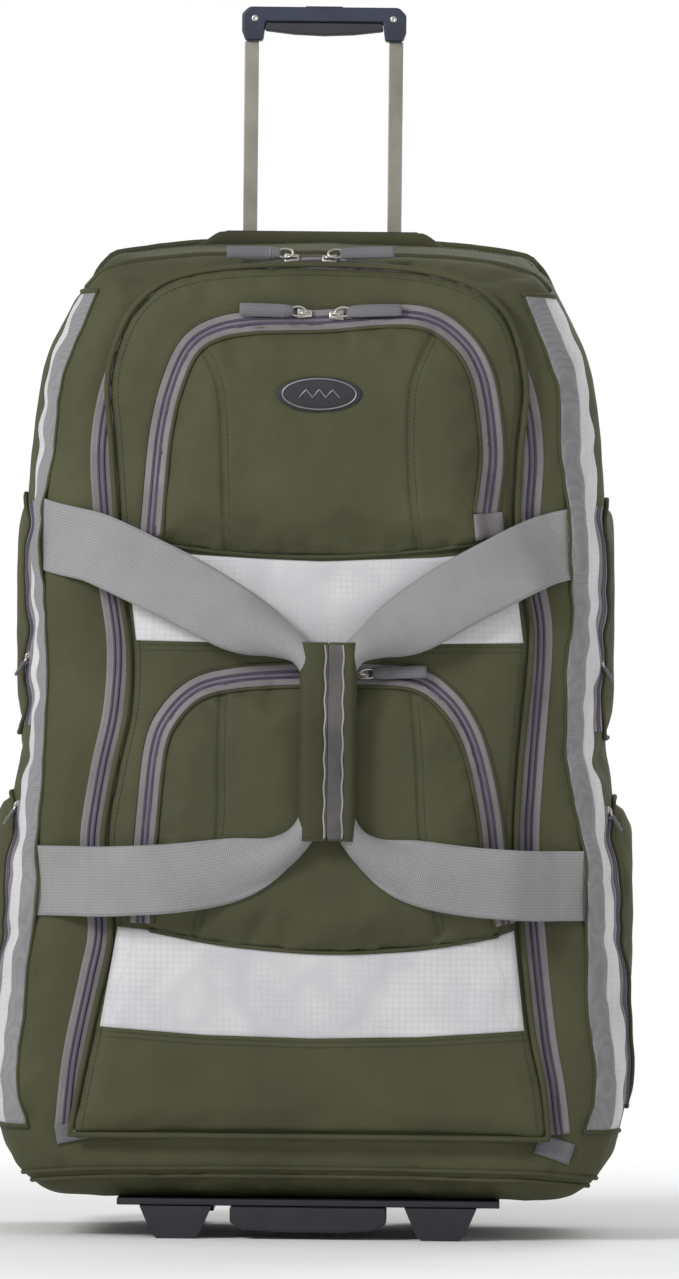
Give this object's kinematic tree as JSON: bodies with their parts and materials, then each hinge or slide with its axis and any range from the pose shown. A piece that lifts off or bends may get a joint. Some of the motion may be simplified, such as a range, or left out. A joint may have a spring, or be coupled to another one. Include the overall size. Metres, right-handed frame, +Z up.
{
  "type": "rolling duffel bag",
  "caption": "Upright two-tone fabric duffel on a moulded base with rear wheels, a telescopic pull handle, zipped front flap and pockets, and folding webbing carry loops.",
  "frame": {"origin": "on the floor, under the middle of the bag's box", "axes": "+Z up, -Y towards the zipped front, +X to the right as seen from the front"},
  "size_m": [0.528, 0.38, 1.038],
  "materials": {
    "olive_fabric": "matt, plain weave",
    "grey_webbing": "matt, ribbed webbing",
    "grey_zip_tape": "matt tape",
    "dark_plastic": "fine moulded grain",
    "soft_grip": "matt",
    "tyre": "matt",
    "tube_metal": "satin",
    "bright_metal": "bright",
    "badge_rubber": "satin"
  },
  "bodies": {
    "bag": {"back_panel": "olive_fabric", "left_side_panel": "olive_fabric", "right_side_panel": "olive_fabric", "top_panel": "olive_fabric", "base_panel": "olive_fabric", "top_gusset": "olive_fabric", "left_gusset": "olive_fabric", "right_gusset": "olive_fabric", "front_boot": "olive_fabric", "front_flap": "olive_fabric", "upper_pocket": "olive_fabric", "lower_pocket": "olive_fabric", "left_upper_side_pocket": "olive_fabric", "left_lower_side_pocket": "olive_fabric", "right_upper_side_pocket": "olive_fabric", "right_lower_side_pocket": "olive_fabric", "main_left_slider": "bright_metal", "main_right_slider": "bright_metal", "upper_left_slider": "bright_metal", "upper_right_slider": "bright_metal", "lower_slider": "bright_metal", "main_zip": "grey_zip_tape", "upper_pocket_zip": "grey_zip_tape", "lower_pocket_zip": "grey_zip_tape", "left_upper_side_zip": "grey_zip_tape", "left_lower_side_zip": "grey_zip_tape", "right_upper_side_zip": "grey_zip_tape", "right_lower_side_zip": "grey_zip_tape", "base_tray": "dark_plastic", "left_runner": "dark_plastic", "right_runner": "dark_plastic", "bottom_grab_handle": "dark_plastic", "tube_bezel": "dark_plastic", "left_outer_tube": "tube_metal", "right_outer_tube": "tube_metal", "left_axle": "bright_metal", "right_axle": "bright_metal", "badge": "badge_rubber"},
    "pull_handle": {"left_inner_tube": "tube_metal", "right_inner_tube": "tube_metal", "handle_housing": "dark_plastic", "grip_insert": "soft_grip"},
    "button": {"release_button": "dark_plastic"},
    "left_wheel": {"left_tyre": "tyre", "left_hub": "dark_plastic"},
    "right_wheel": {"right_tyre": "tyre", "right_hub": "dark_plastic"},
    "left_loop": {"left_carry_loop": "grey_webbing", "left_grip_wrap": "olive_fabric"},
    "right_loop": {"right_carry_loop": "grey_webbing", "right_grip_wrap": "olive_fabric"},
    "main_left_zip_pull": {"main_left_pull": "grey_webbing"},
    "main_right_zip_pull": {"main_right_pull": "grey_webbing"},
    "upper_left_zip_pull": {"upper_left_pull": "grey_webbing"},
    "upper_right_zip_pull": {"upper_right_pull": "grey_webbing"},
    "lower_zip_pull": {"lower_pull": "grey_webbing"},
    "left_upper_side_slider_body": {"left_upper_side_slider": "bright_metal"},
    "left_lower_side_slider_body": {"left_lower_side_slider": "bright_metal"},
    "right_upper_side_slider_body": {"right_upper_side_slider": "bright_metal"},
    "right_lower_side_slider_body": {"right_lower_side_slider": "bright_metal"}
  },
  "joints": [
    {"name": "handle_slide", "type": "slide", "parent": "bag", "child": "pull_handle", "axis": [0, 0, 1], "range_m": [-0.161, 0]},
    {"name": "button_push", "type": "slide", "parent": "pull_handle", "child": "button", "axis": [0, 0, -1], "range_m": [0, 0.0025], "stiffness_N_per_m": 400},
    {"name": "left_wheel_spin", "type": "hinge", "parent": "bag", "child": "left_wheel", "pos_m": [-0.11, 0.152, 0.0335], "axis": [1, 0, 0], "continuous": true},
    {"name": "right_wheel_spin", "type": "hinge", "parent": "bag", "child": "right_wheel", "pos_m": [0.11, 0.152, 0.0335], "axis": [1, 0, 0], "continuous": true},
    {"name": "left_loop_swing", "type": "hinge", "parent": "bag", "child": "left_loop", "pos_m": [-0.231, -0.094, 0.583], "axis": [0.0555, 0.0104, 0.9984], "range_deg": [-140, 0]},
    {"name": "right_loop_swing", "type": "hinge", "parent": "bag", "child": "right_loop", "pos_m": [0.231, -0.094, 0.583], "axis": [-0.0555, 0.0104, 0.9984], "range_deg": [0, 140]},
    {"name": "main_left_pull_swing", "type": "hinge", "parent": "bag", "child": "main_left_zip_pull", "pos_m": [-0.022, -0.1188, 0.821], "axis": [0, 0, 1], "range_deg": [0, 120]},
    {"name": "main_right_pull_swing", "type": "hinge", "parent": "bag", "child": "main_right_zip_pull", "pos_m": [0.01, -0.1188, 0.821], "axis": [0, 0, 1], "range_deg": [-120, 0]},
    {"name": "upper_left_pull_swing", "type": "hinge", "parent": "bag", "child": "upper_left_zip_pull", "pos_m": [-0.01, -0.1538, 0.771], "axis": [0, 0, 1], "range_deg": [0, 120]},
    {"name": "upper_right_pull_swing", "type": "hinge", "parent": "bag", "child": "upper_right_zip_pull", "pos_m": [0.016, -0.1538, 0.772], "axis": [0, 0, 1], "range_deg": [-120, 0]},
    {"name": "lower_pull_swing", "type": "hinge", "parent": "bag", "child": "lower_zip_pull", "pos_m": [0.04, -0.1538, 0.472], "axis": [0, 0, 1], "range_deg": [-60, 0]},
    {"name": "left_upper_side_zip_slide", "type": "slide", "parent": "bag", "child": "left_upper_side_slider_body", "axis": [0, 0, 1], "range_m": [-0.044, 0.12]},
    {"name": "left_lower_side_zip_slide", "type": "slide", "parent": "bag", "child": "left_lower_side_slider_body", "axis": [0.0948, 0, 0.9955], "range_m": [-0.11, 0]},
    {"name": "right_upper_side_zip_slide", "type": "slide", "parent": "bag", "child": "right_upper_side_slider_body", "axis": [0, 0, 1], "range_m": [-0.044, 0.12]},
    {"name": "right_lower_side_zip_slide", "type": "slide", "parent": "bag", "child": "right_lower_side_slider_body", "axis": [-0.0948, 0, 0.9955], "range_m": [-0.11, 0]}
  ]
}
